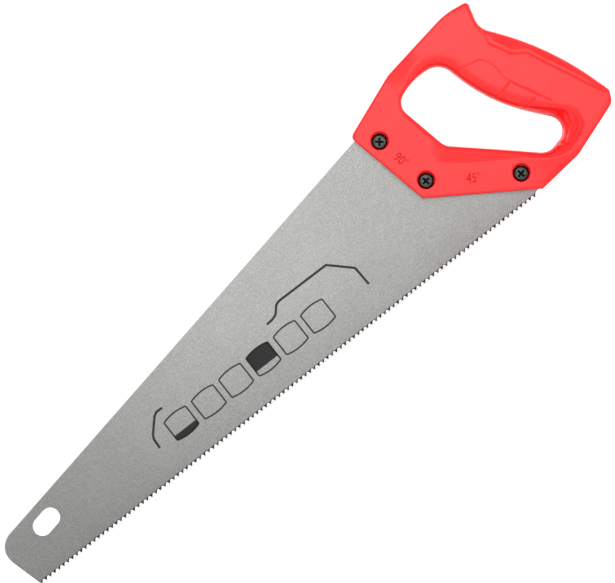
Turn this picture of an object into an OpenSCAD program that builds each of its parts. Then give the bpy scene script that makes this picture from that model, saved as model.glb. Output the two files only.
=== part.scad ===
// Hand saw: a tapered toothed blade with a hanging slot, a closed one-piece handle around the
// heel of the blade, and three screws whose sleeve nuts clamp the handle to the blade.
// +X runs from the toe to the handle along the tooth tips, +Z from the teeth to the back, and
// the middle plane of the blade is Y = 0. The screw heads face -Y and the sleeve nuts +Y.
// The origin is the centre of the base of the saw's bounding box.

/* [Blade] */
// Length of the toothed edge, from the toe to the lower corner of the handle
tooth_line = 406; // [300:1:600]
// Height of the blade at the toe, from the tooth tips to the back
toe_h = 37; // [30:0.5:55]
// Thickness of the sheet
blade_t = 1; // [0.6:0.1:1.6]
// Lean of the toe end from square to the toothed edge, in degrees
toe_lean = 15.5; // [0:0.5:20]
// Radius of the corner between the toe end and the back
toe_r = 12.5; // [3:0.5:14]
// How far the back edge lies below the front corner of the handle
back_drop = 3.5; // [2:0.1:6]

/* [Hanging slot] */
// Length of the slot, end to end
slot_l = 20; // [15:0.5:30]
// Width of the slot
slot_w = 12.4; // [6:0.1:14]
// Distance from the toe to the middle of the slot
slot_x = 26.8; // [22:0.1:50]
// Distance from the back edge to the middle of the slot
slot_below_back = 12.3; // [9:0.1:15]

/* [Teeth] */
// Distance from one tooth tip to the next
tooth_pitch = 3.56; // [2.8:0.02:6]
// Depth of the teeth
tooth_depth = 2.2; // [1.2:0.1:3]
// Lean of the cutting faces from square to the toothed edge, in degrees
tooth_rake = 28; // [0:1:30]
// Flat at the bottom of each gullet
gullet_flat = 0.4; // [0.1:0.05:0.8]

/* [Handle] */
// Thickness of the cheeks that hold the blade
cheek_t = 22; // [18:0.5:30]
// Thickness of the grip
grip_t = 28; // [24:0.5:36]
// Depth of the blade's heel inside the handle, from the front and lower edges
tang_d = 18; // [15:0.5:19]
// Rounding of the cheek edges
cheek_r = 1.6; // [0.5:0.1:3]
// Rounding of the grip at the hand opening
grip_front_r = 11; // [5:0.5:11.5]
// Rounding of the grip at its back
grip_back_r = 10; // [4:0.5:11]

/* [Fasteners] */
// Diameter of the screw shanks
screw_d = 5; // [4:0.1:6]
// Length of a screw under its head
screw_l = 12; // [9.5:0.5:12.5]
// Diameter of the screw heads and of the sleeve nut flanges
head_d = 10.4; // [9:0.1:12]
// Height of the screw heads
head_h = 2.4; // [2:0.1:3.8]
// Thickness of the sleeve nut flanges
flange_t = 2.6; // [1.5:0.1:3.5]
// Wall of the sleeve nuts around the thread
sleeve_wall = 0.9; // [0.6:0.1:1.2]
// Depth of the counterbores in the cheeks
counterbore_depth = 4.2; // [4:0.1:5]
// Distance from the upper and front screws to the front edge of the handle
front_screw_inset = 9.8; // [9:0.1:11]
// Distance from the rear screw to the lower edge of the handle
rear_screw_inset = 10.6; // [9:0.1:11]
// Distance along the front edge from its lower end to the upper screw
upper_screw_along = 44.2; // [30:0.1:47]
// Distance along the front edge from its lower end to the front screw
front_screw_along = 5.5; // [4:0.1:14]
// Distance along the lower edge from its front end to the rear screw
rear_screw_along = 63.7; // [40:0.1:64]

/* [Fits] */
// Gap between the heel of the blade and the end of its slot in the handle
tang_gap = 0.3; // [0.1:0.05:0.6]
// Gap between each face of the blade and its slot
face_gap = 0.05; // [0.02:0.01:0.1]
// Gap around a shank or sleeve in its hole
hole_gap = 0.2; // [0.1:0.05:0.3]
// Gap around a screw head or flange in its counterbore
head_gap = 0.6; // [0.5:0.1:1.2]
// Gap between a screw's thread and its sleeve nut
thread_gap = 0.1; // [0.05:0.05:0.2]

/* [Hidden] */
$fn = 64;

// The lower corner of the handle, where the toothed edge leaves it
heel = [tooth_line, 1.3];

// Corners of the handle outline from the heel corner, as [x, z, rounding radius]
outline_corners = [
    [-63.6, 42.3, 2.0],    // front and lower edges meet
    [-76.0, 101.0, 4.0],   // front corner over the back of the blade
    [-33.0, 117.5, 27.5],  // bend of the top edge
    [19.5, 126.0, 52.0],   // crown of the horn
    [36.0, 123.5, 2.5],    // tip of the horn
    [31.0, 105.5, 12.5],   // hollow for the web of the thumb
    [58.5, 70.5, 193.0],   // long curve of the back of the grip
    [72.5, 23.5, 3.5],     // upper corner of the pommel
    [69.0, 16.0, 7.5],     // lower corner of the pommel
    [31.5, 3.0, 9.5],      // bend of the underside
    [0.5, 0.0, 1.5],       // heel corner
];

// Corners of the hand opening from the heel corner, in the same form
opening_corners = [
    [-40.0, 98.5, 9.5],
    [-21.5, 107.0, 42.5],
    [-2.0, 103.0, 12.5],
    [7.5, 64.0, 114.5],
    [42.5, 21.5, 9.5],
    [17.5, 15.5, 11.0],
    [-32.0, 60.0, 11.0],
];

// Ends of the middle line of the hand opening, from the heel corner
spine = [[-20, 88], [24, 30]];

// Direction along the grip from the horn to the pommel, and square to it away from the blade
along_grip = [0.36, -0.933];
across_grip = [0.933, 0.36];

// Longest straight step and largest turn between two stations of the handle
station_step = 6;
station_turn = 18;
// Steps in each rounded edge of the handle section
edge_steps = 3;

function unit(v) = v / norm(v);
function cross2(a, b) = a.x * b.y - a.y * b.x;
function mix(a, b, t) = a + (b - a) * t;
function wrap(turn) = turn > 180 ? turn - 360 : turn < -180 ? turn + 360 : turn;
function smooth(lo, hi, x) = let (t = max(0, min(1, (x - lo) / (hi - lo)))) t * t * (3 - 2 * t);
function side(v) = [v.y, -v.x];

// The point where the line through p along u meets the line through q along v
function meet(p, u, q, v) = p + u * cross2(q - p, v) / cross2(u, v);

// Arc of radius r that rounds the corner b between its neighbours a and c
function corner_arc(a, b, c, r) =
    let (u = unit(a - b), v = unit(c - b), half = acos(u * v) / 2,
         middle = b + unit(u + v) * r / sin(half),
         from = b + u * r / tan(half) - middle,
         to = b + v * r / tan(half) - middle,
         start = atan2(from.y, from.x),
         turn = wrap(atan2(to.y, to.x) - start),
         steps = max(2, ceil(abs(turn) / station_turn), ceil(abs(turn) * PI / 180 * r / station_step)))
    [for (i = [0:steps]) middle + r * [cos(start + turn * i / steps), sin(start + turn * i / steps)]];

// Closed path with every corner of a [x, z, radius] list rounded, moved by the vector at
function rounded_path(corners, at) =
    let (n = len(corners), p = [for (c = corners) [c.x, c.y] + at])
    [for (i = [0:n - 1]) each corner_arc(p[(i + n - 1) % n], p[i], p[(i + 1) % n], corners[i].z)];

// The same path with its long straight stretches divided
function divided(path) =
    [for (i = [0:len(path) - 1])
        let (a = path[i], b = path[(i + 1) % len(path)], steps = max(1, ceil(norm(b - a) / station_step)))
        for (j = [0:steps - 1]) mix(a, b, j / steps)];

handle_path = divided(rounded_path(outline_corners, heel));
opening_path = rounded_path(opening_corners, heel);

// Front and lower edges of the handle: their corners, directions and inward normals
front_top = heel + [outline_corners[1].x, outline_corners[1].y];
apex = heel + [outline_corners[0].x, outline_corners[0].y];
heel_corner = heel + [outline_corners[10].x, outline_corners[10].y];
front_dir = unit(front_top - apex);
lower_dir = unit(heel_corner - apex);
front_in = side(front_dir);
lower_in = -side(lower_dir);

// Back edge of the blade: it passes just under the front corner of the handle
back_slope = (front_top.y - back_drop - toe_h) / front_top.x;
back_dir = unit([1, back_slope]);
back_start = [0, toe_h];
taper = atan(back_slope);

// Toe end of the blade, up from the first tooth
toe_foot = [-tooth_depth * tan(toe_lean), tooth_depth];
toe_dir = [-sin(toe_lean), cos(toe_lean)];
toe_corner = meet(toe_foot, toe_dir, back_start, back_dir);

// Screw centres: up the front edge, low on the front edge, and back along the lower edge
screw_centres = [
    apex + front_in * front_screw_inset + front_dir * upper_screw_along,
    apex + front_in * front_screw_inset + front_dir * front_screw_along,
    apex + lower_in * rear_screw_inset + lower_dir * rear_screw_along,
];

// Stack of a screw and its sleeve nut, measured from the middle plane of the blade
seat_y = cheek_t / 2 - counterbore_depth;
sleeve_past = 3;
sleeve_r = screw_d / 2 + thread_gap + sleeve_wall;
nut_end_wall = 0.8;
counterbore_r = head_d / 2 + head_gap;

// Rear end of the tang behind the rear screw, and its lower end above the underside
tang_rear = screw_centres[2].x + sleeve_r + 5.5;
tang_foot = heel.y + 3.7;
lower_exit = meet(apex, lower_dir, [0, tooth_depth + 0.6], [1, 0]);
foot_dir = unit([tang_rear, tang_foot] - lower_exit);

// Outline of the tang with its hidden edges moved out by grow: from the back edge, round the
// inner edges, to its lower end
function tang_path(grow) =
    let (back_at = back_start + [-back_dir.y, back_dir.x] * grow,
         front_line = apex + front_in * (tang_d + grow),
         lower_line = apex + lower_in * (tang_d + grow))
    [
        meet(back_at, back_dir, front_line, front_dir),
        meet(front_line, front_dir, lower_line, lower_dir),
        meet(lower_line, lower_dir, [tang_rear + grow, 0], [0, 1]),
        [tang_rear + grow, tang_foot - grow],
    ];

tooth_count = floor((lower_exit.x + toe_foot.x - gullet_flat) / tooth_pitch);

// Points of the toothed edge from the heel to the toe
teeth_path =
    [for (i = [tooth_count - 1:-1:0])
        let (x = toe_foot.x + i * tooth_pitch)
        each [
            [x + tooth_pitch - gullet_flat, tooth_depth],
            [x + tooth_depth * tan(tooth_rake), 0],
            [x, tooth_depth],
        ]];

blade_path = concat(
    corner_arc(toe_foot, toe_corner, back_start + back_dir * tooth_line, toe_r),
    tang_path(0),
    [lower_exit, [toe_foot.x + tooth_count * tooth_pitch, tooth_depth]],
    teeth_path
);

// Middle of the whole saw along X, which the origin stands under
middle_x = (min([for (p = blade_path) p.x]) + max([for (p = handle_path) p.x])) / 2;

// Nearest point of the opening's middle line
function spine_foot(p) =
    let (a = heel + spine[0], along = spine[1] - spine[0], t = (p - a) * along / (along * along))
    a + along * max(0, min(1, t));

// Distance from q along d to the hand opening's edge
function opening_hit(q, d) =
    min([for (i = [0:len(opening_path) - 1])
        let (a = opening_path[i], e = opening_path[(i + 1) % len(opening_path)] - a, den = cross2(d, e))
        if (abs(den) > 1e-9)
            let (t = cross2(a - q, e) / den, s = cross2(a - q, d) / den)
            if (t > 0 && s >= -1e-6 && s <= 1 + 1e-6) t]);

// How far a point belongs to the grip, from 0 on the cheeks to 1 on the grip
function grip_share(p) = smooth(5, 35, (p - heel) * across_grip);

// How far a point of the outline belongs to the long back of the grip, from 0 to 1
function back_share(p) =
    let (u = (p - heel) * across_grip, v = (p - heel) * along_grip)
    smooth(50, 66, u) * smooth(-94, -80, v) * (1 - smooth(-6, 5, v));

// Half of the handle section, from the hand opening to the outline, as [distance, y]
function half_section(width, half_t, inner_r, outer_r) = concat(
    [for (i = [0:edge_steps])
        let (a = 90 * i / edge_steps)
        [inner_r * (1 - cos(a)), half_t - inner_r * (1 - sin(a))]],
    [for (i = [edge_steps:-1:0])
        let (a = 90 * i / edge_steps)
        [width - outer_r * (1 - cos(a)), half_t - outer_r * (1 - sin(a))]]
);

// Ring of 3-D points of the handle section that ends at the outline point p
function handle_ring(p) =
    let (q = spine_foot(p), d = unit(p - q), inner = q + d * opening_hit(q, d),
         grip = grip_share((p + inner) / 2), width = norm(p - inner),
         half_t = mix(cheek_t, grip_t, grip) / 2,
         half = half_section(width, half_t,
             mix(cheek_r * 2, grip_front_r, grip_share(inner)),
             mix(cheek_r, grip_back_r, back_share(p))),
         n = len(half),
         whole = concat(half, [for (i = [n - 1:-1:0]) [half[i].x, -half[i].y]]))
    [for (s = whole) let (c = inner + d * s.x) [c.x, s.y, c.y]];

// Solid ring through equal closed sections, each wall a pair of triangles
module ring_loft(rings) {
    n = len(rings);
    m = len(rings[0]);
    polyhedron(
        points = [for (r = rings) each r],
        faces = [for (i = [0:n - 1], j = [0:m - 1])
            let (a = i * m + j, b = i * m + (j + 1) % m,
                 c = (i + 1) % n * m + (j + 1) % m, d = (i + 1) % n * m + j)
            each [[a, b, c], [a, c, d]]]
    );
}

// Moves a piece from the tooth line frame to the saw's origin
module placed() {
    translate([-middle_x, 0, 0]) children();
}

// Extrudes a shape drawn in X and Z by thickness t about the blade's middle plane
module sheet(t) {
    rotate([90, 0, 0]) translate([0, 0, -t / 2]) linear_extrude(t) children();
}

// Stands a piece that is modelled along +Z on screw centre i, pointing to -Y or to +Y
module at_screw(i, to_front) {
    placed()
        translate([screw_centres[i].x, 0, screw_centres[i].y])
            rotate([to_front ? 90 : -90, 0, 0]) children();
}

// Stadium through the blade, along its back edge
module hanging_slot() {
    depth = blade_t + 2;
    centre_z = toe_h + slot_x * back_slope - slot_below_back / cos(taper);
    reach = (slot_l - slot_w) / 2;
    translate([slot_x, 0, centre_z]) rotate([0, -taper, 0]) {
        cube([2 * reach, depth, slot_w], center = true);
        for (s = [-1, 1])
            translate([s * reach, 0, 0]) rotate([90, 0, 0]) cylinder(d = slot_w, h = depth, center = true);
    }
}

module blade() {
    color("silver") difference() {
        placed() difference() {
            sheet(blade_t) polygon(blade_path);
            hanging_slot();
        }
        for (i = [0:2])
            at_screw(i, true) cylinder(r = sleeve_r + hole_gap, h = blade_t + 2, center = true);
    }
}

// Slot for the heel of the blade, open at the front and lower edges of the handle
module blade_slot() {
    inside = tang_path(tang_gap);
    past = 5;
    sheet(blade_t + 2 * face_gap) polygon(concat(
        inside,
        [
            lower_exit - foot_dir * past + side(foot_dir) * tang_gap,
            apex - (front_in + lower_in) * past,
            inside[0] - back_dir * (tang_d + past),
        ]
    ));
}

// Holes for screw i and its sleeve nut through both cheeks
module fastener_holes(i) {
    past = 4;
    at_screw(i, true) {
        translate([0, 0, seat_y]) cylinder(r = counterbore_r, h = counterbore_depth + past);
        cylinder(r = screw_d / 2 + hole_gap, h = cheek_t / 2);
    }
    at_screw(i, false) {
        translate([0, 0, seat_y]) cylinder(r = counterbore_r, h = counterbore_depth + past);
        translate([0, 0, -sleeve_past - hole_gap])
            cylinder(r = sleeve_r + hole_gap, h = cheek_t / 2 + sleeve_past);
    }
}

module handle() {
    color("red") difference() {
        placed() difference() {
            ring_loft([for (p = handle_path) handle_ring(p)]);
            blade_slot();
        }
        for (i = [0:2]) fastener_holes(i);
    }
}

// Pan head screw with a cross recess
module screw(i) {
    dome_h = 1.2;
    flat_r = head_d * 0.3;
    recess_w = screw_d * 0.2;
    recess_l = screw_d * 0.92;
    recess_depth = head_h * 0.6;
    tip_chamfer = 0.6;
    color("black") at_screw(i, true) difference() {
        union() {
            rotate_extrude() polygon([
                [0, seat_y], [head_d / 2, seat_y], [head_d / 2, seat_y + head_h - dome_h],
                [mix(head_d / 2, flat_r, 0.35), seat_y + head_h - dome_h * 0.35],
                [flat_r, seat_y + head_h], [0, seat_y + head_h],
            ]);
            rotate_extrude() polygon([
                [0, seat_y - screw_l], [screw_d / 2 - tip_chamfer, seat_y - screw_l],
                [screw_d / 2, seat_y - screw_l + tip_chamfer], [screw_d / 2, seat_y + 0.1], [0, seat_y + 0.1],
            ]);
        }
        for (turn = [0, 90])
            rotate(turn) translate([0, 0, seat_y + head_h])
                cube([recess_w, recess_l, 2 * recess_depth], center = true);
    }
}

// Sleeve nut with a flange: its sleeve passes through the blade and takes the screw
module nut(i) {
    edge = 0.8;
    key_w = 1.2;
    key_depth = 1.1;
    color("black") at_screw(i, false) difference() {
        rotate_extrude() polygon([
            [0, -sleeve_past], [sleeve_r, -sleeve_past], [sleeve_r, seat_y], [head_d / 2, seat_y],
            [head_d / 2, seat_y + flange_t - edge], [head_d / 2 - edge, seat_y + flange_t],
            [0, seat_y + flange_t],
        ]);
        translate([0, 0, -sleeve_past - 1])
            cylinder(r = screw_d / 2 + thread_gap, h = seat_y + sleeve_past + 1 - nut_end_wall);
        translate([0, 0, seat_y + flange_t]) cube([key_w, head_d + 1, 2 * key_depth], center = true);
    }
}

blade();
handle();
screw(0);  // screw_upper
screw(1);  // screw_front
screw(2);  // screw_rear
nut(0);  // nut_upper
nut(1);  // nut_front
nut(2);  // nut_rear
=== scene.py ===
"""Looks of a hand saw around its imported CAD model.

The saw is a ground and lacquered spring steel blade with set teeth, a moulded plastic handle,
three black oxide pan head screws with slotted sleeve nuts, a dark print on the blade, and two
angle marks sunk into each cheek of the handle. Lengths inside the classes are in millimetres,
in the row frame, in the blade's own frame or from the heel corner of the handle; `solid` turns
them to metres.
"""

import logging
import math
from dataclasses import dataclass, field
from enum import Enum
from typing import Sequence

import bmesh
import bpy
import numpy as np
from mathutils import Matrix, Vector

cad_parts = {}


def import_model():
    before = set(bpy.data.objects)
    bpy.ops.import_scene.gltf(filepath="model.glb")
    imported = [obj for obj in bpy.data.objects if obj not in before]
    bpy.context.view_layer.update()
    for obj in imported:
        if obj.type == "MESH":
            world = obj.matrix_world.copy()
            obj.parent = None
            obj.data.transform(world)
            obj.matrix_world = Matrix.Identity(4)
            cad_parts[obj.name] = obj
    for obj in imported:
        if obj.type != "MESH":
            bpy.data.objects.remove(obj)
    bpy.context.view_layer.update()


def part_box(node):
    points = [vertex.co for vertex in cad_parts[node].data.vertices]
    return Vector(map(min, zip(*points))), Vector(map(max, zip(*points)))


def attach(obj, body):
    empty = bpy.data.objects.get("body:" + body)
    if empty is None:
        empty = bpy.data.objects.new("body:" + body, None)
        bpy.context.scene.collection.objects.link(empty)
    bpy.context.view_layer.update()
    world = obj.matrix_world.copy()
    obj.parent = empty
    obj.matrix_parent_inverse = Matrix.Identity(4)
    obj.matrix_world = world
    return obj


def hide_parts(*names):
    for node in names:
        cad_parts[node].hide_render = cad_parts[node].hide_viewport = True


log = logging.getLogger("hand_saw")

MM = 0.001
ARC_STEP = math.radians(7)
TINY = 1e-12
SAME_PLACE = 1e-6
Path = np.ndarray
Point = tuple[float, float]


class Side(Enum):
    """A face of the saw: the screw heads are on FRONT and the sleeve nuts on BACK."""

    FRONT = -1
    BACK = 1


class Place(Enum):
    """Where a screw and its nut stand in the handle."""

    UPPER = "upper"
    FRONT = "front"
    REAR = "rear"


class Slot(Enum):
    """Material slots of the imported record."""

    BLADE = "blade_steel"
    HANDLE = "handle_plastic"
    FASTENER = "fastener_steel"
    PRINT = "print_ink"


# ---------------------------------------------------------------- plane geometry


def unit(v: np.ndarray) -> np.ndarray:
    """Returns v at length 1."""
    return v / np.linalg.norm(v)


def cross2(a: np.ndarray, b: np.ndarray) -> np.ndarray:
    """Returns the cross product of plane vectors."""
    return a[..., 0] * b[..., 1] - a[..., 1] * b[..., 0]


def square_to(v: np.ndarray) -> np.ndarray:
    """Returns v turned a quarter turn clockwise."""
    return np.array([v[1], -v[0]])


def meet(p: np.ndarray, u: np.ndarray, q: np.ndarray, v: np.ndarray) -> np.ndarray:
    """Returns where the line through p along u meets the line through q along v."""
    return p + u * cross2(q - p, v) / cross2(u, v)


def smooth(lo: float, hi: float, x: np.ndarray) -> np.ndarray:
    """Returns 0 below lo, 1 above hi and a smooth step between."""
    t = np.clip((x - lo) / (hi - lo), 0.0, 1.0)
    return t * t * (3 - 2 * t)


def corner_arc(a: np.ndarray, b: np.ndarray, c: np.ndarray, r: float, step: float) -> Path:
    """Rounds a corner.

    Args:
        a: The corner before.
        b: The corner to round.
        c: The corner after.
        r: Radius of the arc.
        step: Longest piece of the arc.

    Returns:
        Points of the arc, from the side of a to the side of c.
    """
    u, v = unit(a - b), unit(c - b)
    half = math.acos(float(np.clip(u @ v, -1, 1))) / 2
    middle = b + unit(u + v) * r / math.sin(half)
    first, to = b + u * r / math.tan(half) - middle, b + v * r / math.tan(half) - middle
    start = math.atan2(first[1], first[0])
    turn = (math.atan2(to[1], to[0]) - start + math.pi) % (2 * math.pi) - math.pi
    count = max(3, math.ceil(abs(turn) / ARC_STEP), math.ceil(abs(turn) * r / step))
    angles = start + turn * np.arange(count + 1) / count
    return middle + r * np.stack([np.cos(angles), np.sin(angles)], axis=1)


def rounded_path(corners: Sequence[Sequence[float]], step: float = 0.5) -> Path:
    """Closed path through [x, z, radius] corners, with long stretches divided.

    Args:
        corners: Corners in order, each with its rounding radius.
        step: Longest stretch between two points.

    Returns:
        Points of the path.
    """
    c = np.array(corners, float)
    n = len(c)
    arcs = [
        corner_arc(c[i - 1, :2], c[i, :2], c[(i + 1) % n, :2], c[i, 2], step) for i in range(n)
    ]
    points = np.concatenate(arcs)
    out = []
    for a, b in zip(points, np.roll(points, -1, axis=0)):
        count = max(1, math.ceil(np.linalg.norm(b - a) / step))
        out.extend(a + (b - a) * k / count for k in range(count))
    return np.array(out)


def spread(path: Path, count: int, per_turn: float) -> Path:
    """Spreads points evenly round a closed path, closer together where it turns.

    Args:
        path: Points of the closed path.
        count: How many points to return.
        per_turn: Extra weight, in millimetres, of one radian of turning.

    Returns:
        The new points.
    """
    ahead = np.roll(path, -1, axis=0) - path
    heading = np.unwrap(np.arctan2(ahead[:, 1], ahead[:, 0]))
    whole = 2 * math.pi * np.sign(heading[-1] - heading[0])
    turn = np.abs(np.diff(np.append(heading, heading[0] + whole)))
    most_turn = 1.0
    weight = np.linalg.norm(ahead, axis=1) + per_turn * np.minimum(turn, most_turn)
    total = np.concatenate([[0.0], np.cumsum(weight)])
    closed = np.vstack([path, path[:1]])
    at = np.arange(count) * total[-1] / count
    return np.stack([np.interp(at, total, closed[:, k]) for k in (0, 1)], axis=1)


def path_distance(points: np.ndarray, path: Path, closed: bool) -> np.ndarray:
    """Distance from points to a path.

    Args:
        points: The points, one to a row.
        path: Points of the path.
        closed: Whether the last point joins the first.

    Returns:
        One distance for each point.
    """
    a = path if closed else path[:-1]
    e = (np.roll(path, -1, axis=0) if closed else path[1:]) - a
    length2 = np.maximum((e * e).sum(1), TINY)
    best = np.empty(len(points))
    block = 2000
    for k in range(0, len(points), block):
        p = points[k : k + block, None, :]
        t = np.clip(((p - a) * e).sum(2) / length2, 0, 1)
        off = p - (a + t[..., None] * e)
        best[k : k + block] = np.sqrt((off * off).sum(2).min(1))
    return best


def inside(points: np.ndarray, polygon: Path) -> np.ndarray:
    """Tells which points lie inside a polygon.

    Args:
        points: The points, one to a row.
        polygon: Corners of the polygon.

    Returns:
        True for each point inside.
    """
    a, b = polygon, np.roll(polygon, -1, axis=0)
    x, y = points[:, None, 0], points[:, None, 1]
    spans = (a[:, 1] > y) != (b[:, 1] > y)
    rise = np.where(np.abs(b[:, 1] - a[:, 1]) < TINY, TINY, b[:, 1] - a[:, 1])
    left = x < (b[:, 0] - a[:, 0]) * (y - a[:, 1]) / rise + a[:, 0]
    return (spans & left).sum(1) % 2 == 1


# ---------------------------------------------------------------- solids


def solid(
    name: str,
    points: Sequence[Sequence[float]] | np.ndarray,
    faces: Sequence[Sequence[int]],
    clean: bool = False,
) -> bpy.types.Object:
    """Makes a mesh object.

    Args:
        name: Name of the object.
        points: Its vertices, in millimetres.
        faces: Its faces.
        clean: Whether to make all normals point outwards.

    Returns:
        The new object, in metres.
    """
    mesh = bpy.data.meshes.new(name)
    mesh.from_pydata((np.asarray(points, float) * MM).tolist(), [], [list(f) for f in faces])
    if clean:
        bm = bmesh.new()
        bm.from_mesh(mesh)
        bmesh.ops.recalc_face_normals(bm, faces=bm.faces)
        bm.to_mesh(mesh)
        bm.free()
    mesh.update()
    obj = bpy.data.objects.new(name, mesh)
    bpy.context.scene.collection.objects.link(obj)
    return obj


def prism(name: str, outline: Path, y0: float, y1: float) -> bpy.types.Object:
    """Extrudes a closed path in X and Z.

    Args:
        name: Name of the object.
        outline: Points of the path.
        y0: Where it starts.
        y1: Where it ends.

    Returns:
        The extruded solid.
    """
    n = len(outline)
    points = [(x, y, z) for y in (y0, y1) for x, z in outline]
    faces = [list(range(n)), list(range(2 * n - 1, n - 1, -1))]
    faces += [[i, i + n, (i + 1) % n + n, (i + 1) % n] for i in range(n)]
    return solid(name, points, faces, clean=True)


def turned(
    name: str, profile: Sequence[Point], centre: Point, side: Side, count: int = 48
) -> bpy.types.Object:
    """Turns a profile round an axis along Y.

    Args:
        name: Name of the object.
        profile: (radius, distance from the middle plane) from axis to axis.
        centre: X and Z of the axis.
        side: The side that distances run towards.
        count: Steps round the axis.

    Returns:
        The turned solid.
    """
    points, rings = [], []
    for r, d in profile:
        turns = [0.0] if r == 0 else [2 * math.pi * k / count for k in range(count)]
        rings.append([len(points) + k for k in range(len(turns))])
        points += [
            (centre[0] + r * math.cos(t), side.value * d, centre[1] + r * math.sin(t))
            for t in turns
        ]
    faces = []
    for low, high in zip(rings, rings[1:]):
        for k in range(count):
            j = (k + 1) % count
            if len(low) == 1:
                faces.append([low[0], high[k], high[j]])
            elif len(high) == 1:
                faces.append([low[k], low[j], high[0]])
            else:
                faces.append([low[k], low[j], high[j], high[k]])
    return solid(name, points, faces, clean=True)


def cut(obj: bpy.types.Object, cutters: Sequence[bpy.types.Object]) -> None:
    """Takes each cutter out of a solid, and removes the cutters.

    Args:
        obj: The solid.
        cutters: What is taken out of it.
    """
    for cutter in cutters:
        modifier = obj.modifiers.new("cut", "BOOLEAN")
        modifier.operation, modifier.solver, modifier.object = "DIFFERENCE", "MANIFOLD", cutter
    bpy.context.view_layer.update()
    graph = bpy.context.evaluated_depsgraph_get()
    made = bpy.data.meshes.new_from_object(obj.evaluated_get(graph))
    obj.modifiers.clear()
    obj.data = made
    for cutter in cutters:
        bpy.data.objects.remove(cutter)


def soften(obj: bpy.types.Object, sharp: float) -> None:
    """Shades a solid smooth, apart from edges that turn by more than sharp degrees."""
    obj.data.shade_smooth()
    obj.data.set_sharp_from_angle(angle=math.radians(sharp))


def hand_over(
    obj: bpy.types.Object, finish: bpy.types.Material, node: str | None = None
) -> None:
    """Dresses a piece, ties it to the saw's body and reports it.

    Args:
        obj: The piece, in place.
        finish: Its material, unless it has its materials already.
        node: The CAD node it stands for, if it stands for one.
    """
    if not any(obj.data.materials):
        obj.data.materials.clear()
        obj.data.materials.append(finish)
    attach(obj, "root")
    if node:
        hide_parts(node)
    log.info("%s: %d faces", obj.name, len(obj.data.polygons))


# ---------------------------------------------------------------- finishes


def linear(colour: str) -> tuple[float, float, float, float]:
    """Turns an sRGB colour to a linear one.

    Args:
        colour: Hex value such as "#C0C0C0".

    Returns:
        Red, green, blue and an alpha of 1.
    """
    parts = [int(colour[k : k + 2], 16) / 255 for k in (1, 3, 5)]
    r, g, b = [p / 12.92 if p <= 0.04045 else ((p + 0.055) / 1.055) ** 2.4 for p in parts]
    return (r, g, b, 1.0)


def add(
    tree: bpy.types.NodeTree,
    kind: str,
    inputs: dict[str | int, object] | None = None,
    **settings: object,
) -> bpy.types.Node:
    """Adds a node.

    Args:
        tree: The node tree.
        kind: The node's type name.
        inputs: Values or output sockets for its inputs, by name or index.
        **settings: Its own properties.

    Returns:
        The new node.
    """
    node = tree.nodes.new(kind)
    for key, value in settings.items():
        setattr(node, key, value)
    for key, value in (inputs or {}).items():
        if isinstance(value, bpy.types.NodeSocket):
            tree.links.new(value, node.inputs[key])
        else:
            node.inputs[key].default_value = value
    return node


def new_finish(name: str) -> tuple[bpy.types.Material, bpy.types.NodeTree, bpy.types.NodeSocket]:
    """Starts a node material.

    Args:
        name: Name of the material.

    Returns:
        The material, its tree and its object coordinates.
    """
    material = bpy.data.materials.new(name)
    material.use_nodes = True
    tree = material.node_tree
    tree.nodes.clear()
    place = add(tree, "ShaderNodeTexCoord").outputs["Object"]
    return material, tree, place


def per_size(size_mm: float) -> float:
    """Scale of a pattern whose cells are size_mm wide, for coordinates in metres."""
    return 1.0 / (size_mm * MM)


@dataclass(frozen=True)
class MouldedPolypropylene:
    """Red polypropylene, injection moulded in a finely spark-eroded mould.

    The eye sees a saturated red under a soft, even sheen with a hint of grain. The real grain
    is too fine to show, and is drawn as coarse as grain_mm.
    """

    name: str = "red_moulded_polypropylene"
    colour: str = "#F71A1C"
    shade: str = "#F3171A"
    roughness: float = 0.3
    ior: float = 1.49
    cloud_mm: float = 26.0
    grain_mm: float = 0.55
    grain_depth_mm: float = 0.012
    sheen_change: float = 0.03
    tone_ends: tuple[float, float] = (0.35, 0.65)
    grain_ends: tuple[float, float] = (0.3, 0.7)

    def build(self) -> bpy.types.Material:
        """Makes the node material.

        Returns:
            The material.
        """
        material, tree, place = new_finish(self.name)
        cloud = add(
            tree,
            "ShaderNodeTexNoise",
            {"Vector": place, "Scale": per_size(self.cloud_mm), "Detail": 3.0},
        )
        ramp = add(tree, "ShaderNodeValToRGB", {"Fac": cloud.outputs["Fac"]})
        ramp.color_ramp.elements[0].position = self.tone_ends[0]
        ramp.color_ramp.elements[0].color = linear(self.shade)
        ramp.color_ramp.elements[1].position = self.tone_ends[1]
        ramp.color_ramp.elements[1].color = linear(self.colour)
        grain = add(
            tree,
            "ShaderNodeTexNoise",
            {"Vector": place, "Scale": per_size(self.grain_mm), "Detail": 2.0, "Roughness": 0.6},
        )
        sheen = add(
            tree,
            "ShaderNodeMapRange",
            {
                "Value": grain.outputs["Fac"],
                "From Min": self.grain_ends[0],
                "From Max": self.grain_ends[1],
                "To Min": self.roughness - self.sheen_change,
                "To Max": self.roughness + self.sheen_change,
            },
        )
        bump = add(
            tree,
            "ShaderNodeBump",
            {"Height": grain.outputs["Fac"], "Distance": self.grain_depth_mm * MM, "Strength": 0.6},
        )
        shader = add(
            tree,
            "ShaderNodeBsdfPrincipled",
            {
                "Base Color": ramp.outputs["Color"],
                "Roughness": sheen.outputs["Result"],
                "IOR": self.ior,
                "Normal": bump.outputs["Normal"],
            },
        )
        add(tree, "ShaderNodeOutputMaterial", {"Surface": shader.outputs["BSDF"]})
        return material


# Inside the sunk numbers the mould keeps a coarse spark-eroded texture, drawn rougher. Their
# duller, deeper red is painted shade: the dark that the narrow strokes hold.
MATT_PAINTED_SHADE_POLYPROPYLENE = MouldedPolypropylene("red_matt_painted_shade_polypropylene", "#D81216", "#CE1014", 0.75)


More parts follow.
